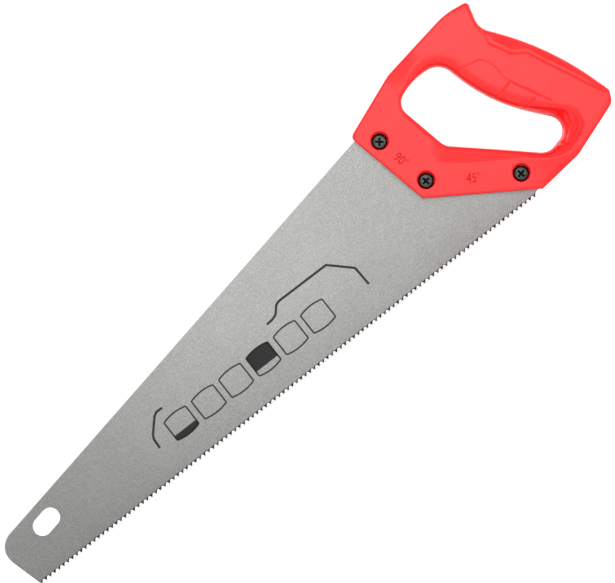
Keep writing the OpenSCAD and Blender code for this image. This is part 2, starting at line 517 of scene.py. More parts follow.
@dataclass(frozen=True)
class GroundSpringSteel:
    """Spring steel sheet, surface ground and clear lacquered.

    The eye sees an even satin grey with a fine salt-and-pepper grain. The real grinding marks
    are too fine to show, and are drawn as coarse as grain_mm and scratch_mm.
    """

    name: str = "ground_spring_steel"
    colour: str = "#8A8A88"
    dark: str = "#737371"
    roughness: float = 0.28
    grain_mm: float = 0.7
    grain_depth_mm: float = 0.01
    scratch_mm: float = 0.5
    scratch_stretch: tuple[float, float, float] = (0.1, 1.0, 1.0)
    cloud_mm: float = 45.0
    cloud_share: float = 0.12
    sheen_change: float = 0.015
    tone_ends: tuple[float, float] = (0.42, 0.7)
    scratch_ends: tuple[float, float] = (0.3, 0.7)

    def build(self) -> bpy.types.Material:
        """Makes the node material.

        Returns:
            The material.
        """
        material, tree, place = new_finish(self.name)
        grain = add(
            tree,
            "ShaderNodeTexNoise",
            {"Vector": place, "Scale": per_size(self.grain_mm), "Detail": 3.0, "Roughness": 0.7},
        )
        cloud = add(
            tree,
            "ShaderNodeTexNoise",
            {"Vector": place, "Scale": per_size(self.cloud_mm), "Detail": 2.0},
        )
        both = add(
            tree,
            "ShaderNodeMath",
            {0: cloud.outputs["Fac"], 1: self.cloud_share, 2: grain.outputs["Fac"]},
            operation="MULTIPLY_ADD",
        )
        ramp = add(tree, "ShaderNodeValToRGB", {"Fac": both.outputs[0]})
        ramp.color_ramp.elements[0].position = self.tone_ends[0]
        ramp.color_ramp.elements[0].color = linear(self.dark)
        ramp.color_ramp.elements[1].position = self.tone_ends[1]
        ramp.color_ramp.elements[1].color = linear(self.colour)
        along = add(tree, "ShaderNodeMapping", {"Vector": place, "Scale": self.scratch_stretch})
        lines = add(
            tree,
            "ShaderNodeTexNoise",
            {"Vector": along.outputs["Vector"], "Scale": per_size(self.scratch_mm), "Detail": 2.0},
        )
        rough = add(
            tree,
            "ShaderNodeMapRange",
            {
                "Value": lines.outputs["Fac"],
                "From Min": self.scratch_ends[0],
                "From Max": self.scratch_ends[1],
                "To Min": self.roughness - self.sheen_change,
                "To Max": self.roughness + self.sheen_change,
            },
        )
        bump = add(
            tree,
            "ShaderNodeBump",
            {"Height": grain.outputs["Fac"], "Distance": self.grain_depth_mm * MM, "Strength": 0.5},
        )
        shader = add(
            tree,
            "ShaderNodeBsdfPrincipled",
            {
                "Base Color": ramp.outputs["Color"],
                "Metallic": 1.0,
                "Roughness": rough.outputs["Result"],
                "Normal": bump.outputs["Normal"],
            },
        )
        add(tree, "ShaderNodeOutputMaterial", {"Surface": shader.outputs["BSDF"]})
        return material


@dataclass(frozen=True)
class PlainFinish:
    """A finish of one colour with fine cloud and grain, for small pieces.

    The eye sees a small, slightly uneven surface of one colour. The real grain is too fine to
    show, and is drawn as coarse as grain_mm.
    """

    name: str
    colour: str
    shade: str
    metallic: float
    roughness: float
    grain_mm: float
    ior: float = 1.5
    sheen_change: float = 0.05
    tone_ends: tuple[float, float] = (0.35, 0.65)
    grain_ends: tuple[float, float] = (0.3, 0.7)

    def build(self) -> bpy.types.Material:
        """Makes the node material.

        Returns:
            The material.
        """
        material, tree, place = new_finish(self.name)
        grain = add(
            tree,
            "ShaderNodeTexNoise",
            {"Vector": place, "Scale": per_size(self.grain_mm), "Detail": 3.0, "Roughness": 0.6},
        )
        ramp = add(tree, "ShaderNodeValToRGB", {"Fac": grain.outputs["Fac"]})
        ramp.color_ramp.elements[0].position = self.tone_ends[0]
        ramp.color_ramp.elements[0].color = linear(self.shade)
        ramp.color_ramp.elements[1].position = self.tone_ends[1]
        ramp.color_ramp.elements[1].color = linear(self.colour)
        rough = add(
            tree,
            "ShaderNodeMapRange",
            {
                "Value": grain.outputs["Fac"],
                "From Min": self.grain_ends[0],
                "From Max": self.grain_ends[1],
                "To Min": self.roughness - self.sheen_change,
                "To Max": self.roughness + self.sheen_change,
            },
        )
        shader = add(
            tree,
            "ShaderNodeBsdfPrincipled",
            {
                "Base Color": ramp.outputs["Color"],
                "Metallic": self.metallic,
                "Roughness": rough.outputs["Result"],
                "IOR": self.ior,
            },
        )
        add(tree, "ShaderNodeOutputMaterial", {"Surface": shader.outputs["BSDF"]})
        return material


# Tooth facets: ground after induction hardening, which leaves them darker than the sheet.
TOOTH_STEEL = PlainFinish("hardened_ground_tooth_steel", "#343433", "#222222", 1.0, 0.3, 0.5)
# Screws and nuts: carbon steel in black oxide, a thin semi-gloss black.
BLACK_OXIDE = PlainFinish("black_oxide_steel", "#4E524F", "#353836", 1.0, 0.27, 0.9)
# Driver recesses: punched into the head and drawn rougher. Their near-black is painted shade: the
# dark that the deep cross holds.
PUNCHED_OXIDE_PAINTED_SHADE = PlainFinish("punched_black_oxide_recess_painted_shade", "#1A1B1A", "#0E0F0E", 1.0, 0.5, 0.4)
# Print: screen printed epoxy ink, matt near-black.
SCREEN_INK = PlainFinish("screen_printed_ink", "#0E0E10", "#151517", 0.0, 0.55, 0.8, 1.42)


# ---------------------------------------------------------------- blade


@dataclass
class Blade:
    """The tapered sheet with its set and bevelled teeth. Its frame has the toe tooth at x = 0."""

    length: float = 406.0
    toe_height: float = 37.0
    thickness: float = 1.0
    toe_lean: float = 15.5
    toe_radius: float = 12.5
    back_drop: float = 3.5
    slot_length: float = 20.0
    slot_width: float = 12.4
    slot_from_toe: float = 26.8
    slot_below_back: float = 12.3
    pitch: float = 3.56
    tooth_depth: float = 2.2
    rake: float = 28.0
    gullet_flat: float = 0.4
    gullet_bevel: float = 0.35
    tang_depth: float = 18.0
    tooth_set: float = 0.22
    facet_near: float = 0.85
    facet_far: float = 1.15
    cut_facet_share: float = 0.6
    ridge_share: float = 0.45
    toe_land: float = 0.2
    edge_chamfer: float = 0.12
    chamfer_above_teeth: float = 0.3
    sleeve_hole: float = 3.7
    heel_rise: float = 1.3
    exit_rise: float = 0.6
    tang_rise: float = 3.7
    toe_step: float = 0.6
    handle: "Handle" = field(default_factory=lambda: Handle())

    def __post_init__(self) -> None:
        """Places the blade's own frame from the CAD blade's box."""
        low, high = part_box("blade")
        heel = np.array([self.length, self.heel_rise])
        apex_at, front_top_at, heel_corner_at = 0, 1, 10
        apex, front_top, heel_corner = (
            heel + np.array(self.handle.outline_corners[k][:2])
            for k in (apex_at, front_top_at, heel_corner_at)
        )
        self.apex = apex
        self.front_dir, self.lower_dir = unit(front_top - apex), unit(heel_corner - apex)
        self.front_in, self.lower_in = square_to(self.front_dir), -square_to(self.lower_dir)
        slope = (front_top[1] - self.back_drop - self.toe_height) / front_top[0]
        self.back_dir = unit(np.array([1.0, slope]))
        self.slope = slope
        self.back_start = np.array([0.0, self.toe_height])
        lean = math.radians(self.toe_lean)
        self.toe_foot = np.array([-self.tooth_depth * math.tan(lean), self.tooth_depth])
        self.toe_corner = meet(
            self.toe_foot,
            np.array([-math.sin(lean), math.cos(lean)]),
            self.back_start,
            self.back_dir,
        )
        self.lower_exit = meet(
            apex,
            self.lower_dir,
            np.array([0.0, self.tooth_depth + self.exit_rise]),
            np.array([1.0, 0.0]),
        )
        self.toe_arc = corner_arc(
            self.toe_foot,
            self.toe_corner,
            self.back_start + self.back_dir * self.length,
            self.toe_radius,
            self.toe_step,
        )
        self.shift = low.x / MM - float(self.toe_arc[:, 0].min())
        self.tang_rear = high.x / MM - self.shift
        self.tang_foot = heel[1] + self.tang_rise

    def tang(self, grow: float) -> Path:
        """Outline of the heel inside the handle.

        Args:
            grow: How far its hidden edges move out.

        Returns:
            Its four corners.
        """
        back_at = self.back_start + np.array([-self.back_dir[1], self.back_dir[0]]) * grow
        front_line = self.apex + self.front_in * (self.tang_depth + grow)
        lower_line = self.apex + self.lower_in * (self.tang_depth + grow)
        return np.array(
            [
                meet(back_at, self.back_dir, front_line, self.front_dir),
                meet(front_line, self.front_dir, lower_line, self.lower_dir),
                meet(
                    lower_line,
                    self.lower_dir,
                    np.array([self.tang_rear + grow, 0.0]),
                    np.array([0.0, 1.0]),
                ),
                [self.tang_rear + grow, self.tang_foot - grow],
            ]
        )

    def placed(self, path: Path) -> Path:
        """Moves a path from the blade's own frame to the row frame."""
        return np.asarray(path, float) + [self.shift, 0.0]

    def slot_outline(self) -> Path:
        """Stadium of the hanging slot.

        Returns:
            Its points, in the row frame.
        """
        tilt = math.atan(self.slope)
        centre = np.array(
            [
                self.slot_from_toe,
                self.toe_height
                + self.slot_from_toe * self.slope
                - self.slot_below_back / math.cos(tilt),
            ]
        )
        reach, r = (self.slot_length - self.slot_width) / 2, self.slot_width / 2
        points = []
        half_turn, steps = 180, 24
        for end in (1, -1):
            for k in range(steps + 1):
                start = -half_turn / 2 + (0 if end == 1 else half_turn)
                turn = math.radians(start + half_turn / steps * k)
                points.append([end * reach + r * math.cos(turn), r * math.sin(turn)])
        c, s = math.cos(tilt), math.sin(tilt)
        return self.placed(centre + np.array(points) @ np.array([[c, s], [-s, c]]))

    def slot_cutter(self) -> bpy.types.Object:
        """Makes the solid of the room that the heel takes in the handle.

        Returns:
            The cutter.
        """
        gap, face_gap, past = 0.3, 0.05, 5.0
        inner = self.tang(gap)
        foot_dir = unit(np.array([self.tang_rear, self.tang_foot]) - self.lower_exit)
        ends = [
            self.lower_exit - foot_dir * past + square_to(foot_dir) * gap,
            self.apex - (self.front_in + self.lower_in) * past,
            inner[0] - self.back_dir * (self.tang_depth + past),
        ]
        half = self.thickness / 2 + face_gap
        return prism("blade_room", self.placed(np.vstack([inner, ends])), -half, half)

    def ridge(self, x: float) -> tuple[Point, Point, Point]:
        """Ridge of a tooth, above the bevels of its gullets.

        Args:
            x: Toe side root of the tooth.

        Returns:
            Its toe side, its tip and its heel side.
        """
        depth, level = self.tooth_depth, self.tooth_depth - self.gullet_bevel
        tip = x + depth * math.tan(math.radians(self.rake))
        end = x + self.pitch - self.gullet_flat
        toe_side = x + (tip - x) * self.gullet_bevel / depth
        heel_side = end + (tip - end) * self.gullet_bevel / depth
        return (toe_side, level), (tip, 0.0), (heel_side, level)

    def tooth(self, x: float, facet: float) -> tuple[Point, Point, Point]:
        """Face triangle of a tooth, inside its ground facets.

        Args:
            x: Toe side root of the tooth.
            facet: Width of the facets on this face.

        Returns:
            The toe side root, the tip and the heel side root.
        """
        depth = self.tooth_depth
        root_a = np.array([x, depth])
        root_b = np.array([x + self.pitch - self.gullet_flat, depth])
        tip = np.array([x + depth * math.tan(math.radians(self.rake)), 0.0])
        cut_dir, back_dir = unit(tip - root_a), unit(root_b - tip)
        cut_at = root_a + np.array([-cut_dir[1], cut_dir[0]]) * facet * self.cut_facet_share
        back_at = tip + np.array([-back_dir[1], back_dir[0]]) * facet
        level = np.array([1.0, 0.0])
        return (
            tuple(meet(cut_at, cut_dir, root_a, level)),
            tuple(meet(cut_at, cut_dir, back_at, back_dir)),
            tuple(meet(back_at, back_dir, root_a, level)),
        )

    def plate(self) -> bpy.types.Object:
        """Makes the sheet with its teeth, before the slot and the screw holes are cut.

        Returns:
            The sheet.
        """
        half, depth = self.thickness / 2, self.tooth_depth
        count = math.floor((self.lower_exit[0] + self.toe_foot[0] - self.gullet_flat) / self.pitch)
        start = self.toe_foot[0]
        heel_foot = (start + count * self.pitch, depth)
        toe_foot = (start - self.toe_land, depth)
        rim = [*map(tuple, self.toe_arc), *map(tuple, self.tang(0)), tuple(self.lower_exit)]
        rim += [heel_foot]
        points: list[tuple[float, float, float]] = []
        faces: list[list[int]] = []
        marks: list[int] = []

        def put(p: Point, y: float) -> int:
            """Adds the point p at y and returns its number."""
            points.append((p[0] + self.shift, y, p[1]))
            return len(points) - 1

        def face(*corners: int, ground: bool = False) -> None:
            """Adds a face, ground or plain."""
            faces.append(list(corners))
            marks.append(1 if ground else 0)

        rims = {s: [put(p, s * half) for p in [toe_foot, *rim]] for s in (-1, 1)}
        teeth = []
        for i in range(count):
            x, bend = start + i * self.pitch, 1 if i % 2 else -1
            tooth: dict[int, tuple[int, int, int]] = {}
            for s in (-1, 1):
                a, t, b = self.tooth(x, self.facet_near if s == bend else self.facet_far)
                tooth[s] = (
                    put(a, s * half),
                    put(t, s * half + bend * self.tooth_set),
                    put(b, s * half),
                )
            a, t, b = self.ridge(x)
            ridge = bend * half * self.ridge_share
            tooth[0] = (put(a, ridge), put(t, ridge + bend * self.tooth_set), put(b, ridge))
            teeth.append(tooth)
            for s in (-1, 1):
                face(*tooth[s])
                face(tooth[0][0], tooth[0][1], tooth[s][1], tooth[s][0], ground=True)
                face(tooth[0][1], tooth[0][2], tooth[s][2], tooth[s][1], ground=True)
        for s in (-1, 1):
            bottom = [k for tooth in reversed(teeth) for k in (tooth[s][2], tooth[s][0])]
            face(*rims[s], *bottom)
        n = len(rims[1])
        for k in range(n - 1):
            face(rims[-1][k], rims[-1][k + 1], rims[1][k + 1], rims[1][k])
        face(rims[-1][0], rims[1][0], teeth[0][1][0], teeth[0][0][0], teeth[0][-1][0])
        last = teeth[-1]
        face(rims[-1][-1], rims[1][-1], last[1][2], last[0][2], last[-1][2])
        for one, two in zip(teeth, teeth[1:]):
            for s in (-1, 1):
                face(one[s][2], two[s][0], two[0][0], one[0][2], ground=True)
        obj = solid("blade_plate", points, faces, clean=True)
        obj.data.polygons.foreach_set("material_index", marks)
        return obj

    def build(self, steel: bpy.types.Material, ground: bpy.types.Material) -> None:
        """Makes the blade.

        Args:
            steel: Finish of the sheet.
            ground: Finish of the tooth facets.
        """
        obj = self.plate()
        obj.data.materials.append(steel)
        obj.data.materials.append(ground)
        reach, hole_steps = 3, 40
        cutters = [prism("slot", self.slot_outline(), -reach, reach)]
        for place in Place:
            centre = screw_centre(place)
            turns = np.linspace(0, 2 * math.pi, hole_steps, endpoint=False)
            ring = np.array(centre) + self.sleeve_hole * np.stack([np.cos(turns), np.sin(turns)], 1)
            cutters.append(prism("hole", ring, -reach, reach))
        cut(obj, cutters)
        self.chamfer(obj)
        soften(obj, sharp=30)
        for polygon in obj.data.polygons:
            polygon.use_smooth = abs(polygon.normal.y) < 0.5
        hand_over(obj, steel, "blade")

    def chamfer(self, obj: bpy.types.Object) -> None:
        """Breaks the sharp edges of the sheet above its teeth.

        Args:
            obj: The sheet.
        """
        bm = bmesh.new()
        bm.from_mesh(obj.data)
        floor = (self.tooth_depth + self.chamfer_above_teeth) * MM
        sharp = math.radians(60)
        edges = [
            e
            for e in bm.edges
            if len(e.link_faces) == 2
            and e.calc_face_angle() > sharp
            and min(v.co.z for v in e.verts) > floor
            and abs(e.verts[0].co.y - e.verts[1].co.y) < SAME_PLACE
        ]
        bmesh.ops.bevel(
            bm, geom=edges, offset=self.edge_chamfer * MM, segments=1, affect="EDGES", profile=0.5
        )
        bm.to_mesh(obj.data)
        bm.free()


# ---------------------------------------------------------------- handle


@dataclass(frozen=True)
class Relief:
    """A line on the face of the handle, and what the face does along it.

    Points are from the heel corner. With `closing`, the region between the line and the
    closing points is sunk; without it, the line is a groove. `slope` tilts the region away
    from the line, down to `limit` at most. Each of `fades` is (x, z, start, end): the relief
    fades in along (x, z), from start to end. Where its presence is below `faintest`, the mesh
    isn't made finer for it.
    """

    line: tuple[Point, ...]
    depth: float = 0.0
    width: float = 1.0
    closing: tuple[Point, ...] = ()
    slope: float = 0.0
    limit: float = 3.0
    fades: tuple[tuple[float, float, float, float], ...] = ()
    faintest: float = 0.02

    def presence(self, points: np.ndarray) -> np.ndarray:
        """How strong the relief is.

        Args:
            points: Points of the face, from the heel corner.

        Returns:
            A share from 0 to 1 for each point.
        """
        out = np.ones(len(points))
        for x, z, start, end in self.fades:
            out = out * smooth(start, end, points @ np.array([x, z]))
        return out

    def near(self, points: np.ndarray, reach: float) -> np.ndarray:
        """Tells which points lie within reach of the line's own width."""
        away = path_distance(points, np.array(self.line), closed=False)
        return (away < self.width / 2 + reach) & (self.presence(points) > self.faintest)

    def drop(self, points: np.ndarray) -> np.ndarray:
        """How far the face lies lower.

        Args:
            points: Points of the face, from the heel corner.

        Returns:
            The drop at each point.
        """
        path = np.array(self.line)
        away = path_distance(points, path, closed=False)
        if self.closing:
            polygon = np.vstack([path, np.array(self.closing)])
            signed = np.where(inside(points, polygon), away, -away)
            out = self.depth * smooth(-self.width / 2, self.width / 2, signed)
            if self.slope:
                soft = self.width / 4
                fall = self.slope * soft * np.logaddexp(0, signed / soft)
                out = out + self.limit * (1 - np.exp(-fall / self.limit))
        else:
            out = self.depth * (1 - smooth(0.0, self.width / 2, away))
        return out * self.presence(points)


@dataclass
class Handle:
    """The closed one-piece handle. Its outlines are from the heel corner, as [x, z, radius]."""

    outline_corners: tuple[tuple[float, float, float], ...] = (
        (-63.6, 42.3, 2.0),
        (-76.0, 101.0, 4.0),
        (-33.0, 117.5, 27.5),
        (19.5, 126.0, 52.0),
        (36.0, 123.5, 2.5),
        (31.0, 105.5, 12.5),
        (58.5, 70.5, 193.0),
        (72.5, 23.5, 3.5),
        (69.0, 16.0, 7.5),
        (31.5, 3.0, 9.5),
        (0.5, 0.0, 1.5),
    )
    opening_corners: tuple[tuple[float, float, float], ...] = (
        (-40.0, 98.5, 9.5),
        (-21.5, 107.0, 42.5),
        (-2.0, 103.0, 12.5),
        (7.5, 64.0, 114.5),
        (42.5, 21.5, 9.5),
        (17.5, 15.5, 11.0),
        (-32.0, 60.0, 11.0),
    )
    spine: tuple[Point, Point] = ((-20.0, 88.0), (24.0, 30.0))
    along: Point = (0.36, -0.933)
    across: Point = (0.933, 0.36)
    cheek: float = 11.0
    grip: float = 14.0
    cheek_r: float = 1.6
    grip_front_r: float = 11.0
    grip_back_r: float = 3.5
    grip_blend: Point = (5, 35)
    back_blend: Point = (50, 66)
    back_end: Point = (-6, 5)
    horn_blend: Point = (60, 72)
    horn_foot: Point = (-94, -80)
    horn_tip: Point = (-112, -100)
    horn_share: float = 0.5
    top_blend: Point = (104, 130)
    top_thinning: float = 2.2
    thinnest: float = 2.0
    corner_weight: float = 1.5
    rounding_power: float = 2.5
    counterbore_r: float = 6.0
    counterbore_shift: Point = (0.5, 0.45)
    counterbore_foot: float = 5.4
    counterbore_rim: float = 0.3
    counterbore_lip: float = 2.0
    wall_lean: float = 0.1
    shank_room: float = 2.7
    sleeve_room: float = 3.7
    sleeve_bottom: float = -3.2
    seat: float = 6.8
    stations: int = 360
    rows: int = 48
    refine_reach: tuple[float, float] = (0.9, 0.3)

    def heel(self) -> np.ndarray:
        """Finds the heel corner, where the outline's box meets the CAD handle's box.

        Returns:
            Its place in the row frame.
        """
        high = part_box("handle")[1]
        top = rounded_path(self.outline_corners).max(axis=0)
        return np.array([high.x, high.z]) / MM - top

    def grip_share(self, points: np.ndarray) -> np.ndarray:
        """How far each point belongs to the grip, from 0 on the cheeks to 1."""
        return smooth(*self.grip_blend, points @ np.array(self.across))

    def back_share(self, points: np.ndarray) -> np.ndarray:
        """How far each point belongs to the long back of the grip.

        Args:
            points: Points of the face, from the heel corner.

        Returns:
            A share from 0 to 1 for each point.
        """
        u, v = points @ np.array(self.across), points @ np.array(self.along)
        below_horn = smooth(*self.horn_foot, v)
        grip = smooth(*self.back_blend, u) * below_horn * (1 - smooth(*self.back_end, v))
        horn = self.horn_share * smooth(*self.horn_blend, u) * smooth(*self.horn_tip, v)
        horn = horn * (1 - below_horn)
        return grip + horn

    def reliefs(self) -> list[Relief]:
        """Lists the steps, ramps and grooves of the handle's faces.

        Returns:
            The reliefs, each on both faces.
        """
        void = ((47.0, 37.0), (30.0, 58.0), (12.0, 66.0), (0.0, 66.0), (-10.0, 60.0), (-30.0, 78.0))
        inner_end = ((10.0, 20.0), (0.0, 66.0), (30.0, 58.0))
        ends = ((0.61, 0.79, 27.5, 29.0), (0.61, 0.79, 54.0, 47.0))
        beyond = ((90.0, 20.0), (90.0, 110.0), (40.0, 115.0))
        return [
            # Ramp from the lower cheek down to the hand opening
            Relief(
                line=(
                    (-49.0, 61.5), (-44.0, 57.0), (-41.0, 53.8), (-37.0, 50.4), (-28.1, 43.2),
                    (-0.8, 25.0), (15.4, 13.2), (21.0, 9.7), (27.0, 8.4), (31.0, 8.5), (36.0, 10.2),
                    (46.0, 15.2), (48.4, 21.0), (49.0, 28.5),
                ),
                closing=void,
                slope=0.38,
                limit=4.0,
                width=0.8,
                fades=((0.744, -0.668, -73.0, -60.0), (0.8, 1.0, 68.0, 56.0)),
            ),
            # Nested chevrons at the end of the grip
            Relief(
                line=((49.6, 28.5), (47.3, 20.4), (46.0, 15.5), (32.5, 10.5)),
                closing=inner_end,
                depth=0.6,
                width=0.9,
                fades=ends,
            ),
            Relief(
                line=((46.4, 29.0), (44.4, 21.0), (41.8, 17.2), (31.5, 12.2)),
                closing=inner_end,
                depth=1.0,
                width=1.8,
                fades=ends,
            ),
            Relief(
                line=((42.3, 29.5), (40.3, 21.8), (37.6, 19.5), (29.5, 13.8)),
                closing=inner_end,
                depth=0.75,
                width=1.2,
                fades=ends,
            ),
            # Step along the back of the grip, down to a narrow ledge
            Relief(
                line=(
                    (32.0, 104.0), (30.2, 94.0), (37.5, 80.0), (46.1, 74.0), (48.4, 68.0),
                    (63.2, 36.9), (69.6, 24.0),
                ),
                closing=beyond,
                depth=0.8,
                width=1.5,
            ),
            # Chamfered back, outside the ledge
            Relief(
                line=(
                    (35.0, 101.0), (33.3, 94.2), (39.5, 81.8), (47.9, 76.0), (50.8, 68.6),
                    (65.6, 38.3), (70.6, 28.0),
                ),
                closing=beyond,
                slope=0.42,
                limit=3.5,
                width=0.8,
            ),
            # Finger panel on the front of the grip
            Relief(
                line=(
                    (2.0, 93.9), (13.0, 91.2), (19.6, 89.4), (23.4, 84.0), (24.6, 77.0),
                    (24.2, 72.0), (26.2, 66.7), (39.6, 40.2),
                ),
                closing=((30.0, 30.0), (0.0, 60.0), (-10.0, 90.0)),
                depth=0.35,
                width=0.9,
                fades=((0.46, -0.888, -17.0, -26.0),),
            ),
            Relief(line=((26.4, 66.3), (39.2, 41.0)), depth=0.45, width=1.7),
            Relief(
                line=((25.4, 66.6), (22.5, 65.7), (17.0, 64.6), (9.0, 64.4)),
                depth=0.5,
                width=1.5,
            ),
            Relief(
                line=((31.8, 48.8), (25.5, 47.8), (19.8, 49.8), (16.0, 53.0)),
                depth=0.55,
                width=1.6,
            ),
            # Chamfer round the pommel and the underside
            Relief(
                line=(
                    (80.0, 27.0), (68.5, 20.0), (65.0, 17.6), (55.5, 13.4), (36.5, 7.2),
                    (31.0, 6.0), (21.0, 5.2), (5.0, 4.4), (-3.0, 4.0),
                ),
                closing=((-3.0, -20.0), (90.0, -20.0)),
                slope=0.1,
                limit=2.5,
                width=0.7,
                fades=((1.0, 0.0, 0.0, 8.0),),
            ),
        ]

    def half_thickness(self, points: np.ndarray, d_in: np.ndarray, d_out: np.ndarray) -> np.ndarray:
        """Distance of the face from the middle plane.

        Args:
            points: Points of the face, from the heel corner.
            d_in: Their distances to the hand opening.
            d_out: Their distances to the outline.

        Returns:
            The distance at each point.
        """
        share = self.grip_share(points)
        height = self.cheek + (self.grip - self.cheek) * share
        inner = self.cheek_r * 2 + (self.grip_front_r - self.cheek_r * 2) * share
        outer = self.cheek_r + (self.grip_back_r - self.cheek_r) * self.back_share(points)
        power = self.rounding_power
        for distance, radius in ((d_in, inner), (d_out, outer)):
            over = 1 - np.clip(distance / radius, 0, 1)
            height = height - radius * (1 - (1 - over**power) ** (1 / power))
        height = height - self.top_thinning * smooth(*self.top_blend, points[:, 1])
        for relief in self.reliefs():
            height = height - relief.drop(points)
        return np.maximum(height, self.thinnest)

    def shell(self) -> bpy.types.Object:
        """Makes the handle without its cuts: a closed ring of sections round the opening.

        Returns:
            The uncut handle.
        """
        outline, opening = rounded_path(self.outline_corners), rounded_path(self.opening_corners)
        outer = spread(outline, self.stations, self.corner_weight)
        a, b = (np.array(p) for p in self.spine)
        t = np.clip((outer - a) @ (b - a) / ((b - a) @ (b - a)), 0, 1)
        foot = a + t[:, None] * (b - a)
        ray = outer - foot
        ray = ray / np.linalg.norm(ray, axis=1)[:, None]
        reach = self.opening_reach(foot, ray, opening)
        inner = foot + ray * reach[:, None]
        width = np.linalg.norm(outer - inner, axis=1)
        r_in = self.cheek_r * 2 + (self.grip_front_r - self.cheek_r * 2) * self.grip_share(inner)
        r_out = self.cheek_r + (self.grip_back_r - self.cheek_r) * self.back_share(outer)
        share = self.section_rows(width, r_in, r_out)
        flat = inner[:, None, :] + share[..., None] * (outer - inner)[:, None, :]
        n, m = self.stations, self.rows
        i, j = np.meshgrid(np.arange(n), np.arange(m - 1), indexing="ij")
        i2 = (i + 1) % n
        quads = np.stack([i * m + j, i2 * m + j, i2 * m + j + 1, i * m + j + 1], axis=2)
        points, faces, rim = self.refine(flat.reshape(-1, 2), quads.reshape(-1, 4))
        height = self.half_thickness(
            points, path_distance(points, opening, True), path_distance(points, outline, True)
        )
        heel = self.heel()
        front = np.stack([points[:, 0] + heel[0], -height, points[:, 1] + heel[1]], axis=1)
        count = len(front)
        faces += [[k + count for k in reversed(face)] for face in faces]
        faces += [[a, b, b + count, a + count] for a, b in rim]
        return solid("handle_grip", np.vstack([front, front * [1, -1, 1]]), faces, clean=True)

    def refine(
        self, points: np.ndarray, quads: np.ndarray
    ) -> tuple[np.ndarray, list[list[int]], list[tuple[int, int]]]:
        """Divides the faces of one side of the handle where its relief lines run.

        Args:
            points: Points of the side, from the heel corner.
            quads: Its faces.

        Returns:
            The new points, the new faces and the edges of the rim.
        """
        bm = bmesh.new()
        verts = [bm.verts.new((x, 0.0, z)) for x, z in points]
        for corners in quads:
            bm.faces.new([verts[k] for k in corners])
        for reach in self.refine_reach:
            bm.verts.index_update()
            at = np.array([(v.co.x, v.co.z) for v in bm.verts])
            near = np.zeros(len(at), bool)
            for relief in self.reliefs():
                near |= relief.near(at, reach)
            edges = [
                e
                for e in bm.edges
                if not e.is_boundary and near[e.verts[0].index] and near[e.verts[1].index]
            ]
            bmesh.ops.subdivide_edges(bm, edges=edges, cuts=1, use_grid_fill=True)
        bm.verts.index_update()
        at = np.array([(v.co.x, v.co.z) for v in bm.verts])
        faces = [[v.index for v in f.verts] for f in bm.faces]
        rim = [(e.verts[0].index, e.verts[1].index) for e in bm.edges if e.is_boundary]
        bm.free()
        return at, faces, rim

    def section_rows(self, width: np.ndarray, r_in: np.ndarray, r_out: np.ndarray) -> np.ndarray:
        """Where the rows of each section lie, from 0 at the opening to 1 at the outline.

        Args:
            width: Width of each section.
            r_in: Rounding at its inner end.
            r_out: Rounding at its outer end.

        Returns:
            One line of shares for each section.
        """
        extra = 3.0
        quarter = math.pi / 2
        w_in, w_out = quarter * r_in + extra, quarter * r_out + extra
        middle = np.maximum(width - r_in - r_out, 1.0)
        total = w_in + w_out + middle
        at = np.linspace(0, 1, self.rows)[None, :] * total[:, None]
        w_in, w_out, middle = w_in[:, None], w_out[:, None], middle[:, None]
        near = r_in[:, None] * (1 - np.cos(quarter * np.clip(at / w_in, 0, 1)))
        flat = np.clip((at - w_in) / middle, 0, 1) * (width - r_in - r_out)[:, None]
        far = r_out[:, None] * np.sin(quarter * np.clip((at - w_in - middle) / w_out, 0, 1))
        return (near + flat + far) / width[:, None]

    @staticmethod
    def opening_reach(foot: np.ndarray, ray: np.ndarray, opening: Path) -> np.ndarray:
        """Distance to the edge of the opening.

        Args:
            foot: Where each ray starts.
            ray: Its direction.
            opening: Outline of the opening.

        Returns:
            The distance along each ray.
        """
        e = np.roll(opening, -1, axis=0) - opening
        to = opening[None] - foot[:, None]
        den = cross2(ray[:, None], e[None])
        den = np.where(np.abs(den) < TINY, TINY, den)
        t = cross2(to, np.broadcast_to(e, to.shape)) / den
        s = cross2(to, np.broadcast_to(ray[:, None], to.shape)) / den
        good = (t > 0) & (s >= -SAME_PLACE) & (s <= 1 + SAME_PLACE)
        return np.where(good, t, np.inf).min(axis=1)

    def screw_room(self, centre: Point, side: Side) -> bpy.types.Object:
        """Solid of the counterbore and the hole behind it, with a softened rim.

        Args:
            centre: X and Z of the screw.
            side: The face of the saw it opens to.

        Returns:
            The cutter.
        """
        r, foot = self.counterbore_r, self.counterbore_foot
        rim, face = self.counterbore_rim, self.cheek
        hole = self.shank_room if side is Side.FRONT else self.sleeve_room
        bottom = 0.0 if side is Side.FRONT else self.sleeve_bottom
        profile = [(0, bottom), (hole, bottom), (hole, self.seat), (foot, self.seat)]
        profile += [(foot, face - self.counterbore_lip), (r - self.wall_lean, face - rim)]
        rim_steps, above, steps = 3, 4, 72
        for k in range(1, rim_steps + 1):
            turn = math.radians(90 / rim_steps * k)
            profile.append((r + rim * (1 - math.cos(turn)), face - rim + rim * math.sin(turn)))
        profile += [(r + rim, face + above), (0, face + above)]
        room = turned("screw_room", profile, centre, side, steps)
        wide = self.counterbore_foot + self.wall_lean
        for vertex in room.data.vertices:
            x, z = vertex.co.x / MM - centre[0], vertex.co.z / MM - centre[1]
            if math.hypot(x, z) > wide:
                vertex.co.x += self.counterbore_shift[0] * MM
                vertex.co.z += self.counterbore_shift[1] * MM
        return room

